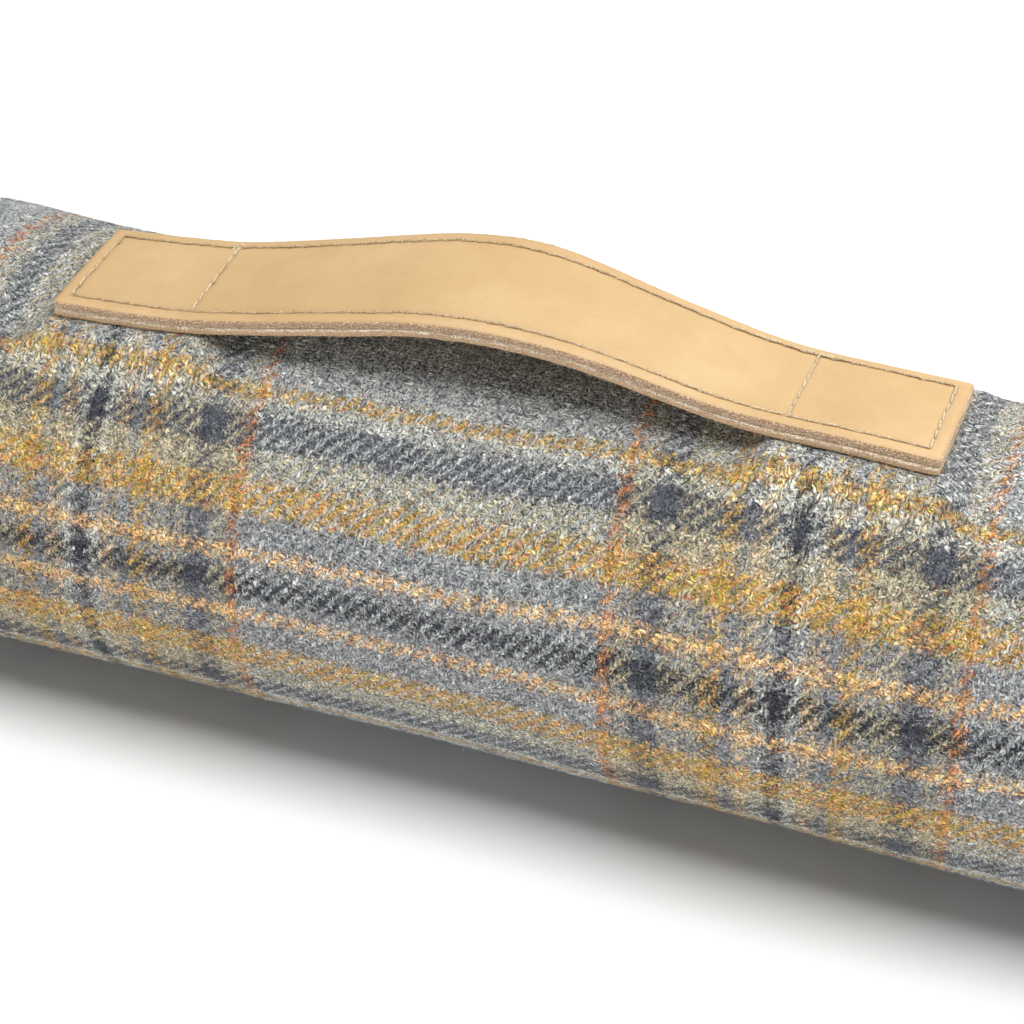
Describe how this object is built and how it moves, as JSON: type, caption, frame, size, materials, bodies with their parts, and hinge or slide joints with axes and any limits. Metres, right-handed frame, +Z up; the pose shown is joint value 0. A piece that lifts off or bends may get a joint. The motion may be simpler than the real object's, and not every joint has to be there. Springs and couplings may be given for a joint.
{
  "type": "draught excluder",
  "caption": "Long filled tweed tube with flat-sewn ends and a stitched leather carrying handle arched over its crown, laid along the foot of a door.",
  "frame": {"origin": "on the floor, under the middle of the tube", "axes": "+X along the tube, -Y towards its front, +Z up from the floor"},
  "size_m": [0.85, 0.156, 0.1234],
  "materials": {
    "tweed": "fulled woollen twill in a heathered grey check with yellow, orange and peach overchecks, hairy and matt",
    "leather_top": "smooth undyed vegetable-tanned leather, grain side out, satin, with a beige lock-stitch along every edge",
    "leather_under": "undyed vegetable-tanned leather, grain side down, with raw brown fibrous cut edges"
  },
  "bodies": {
    "root": {"cover": "tweed", "handle_under": "leather_under", "handle_top": "leather_top"}
  },
  "joints": []
}
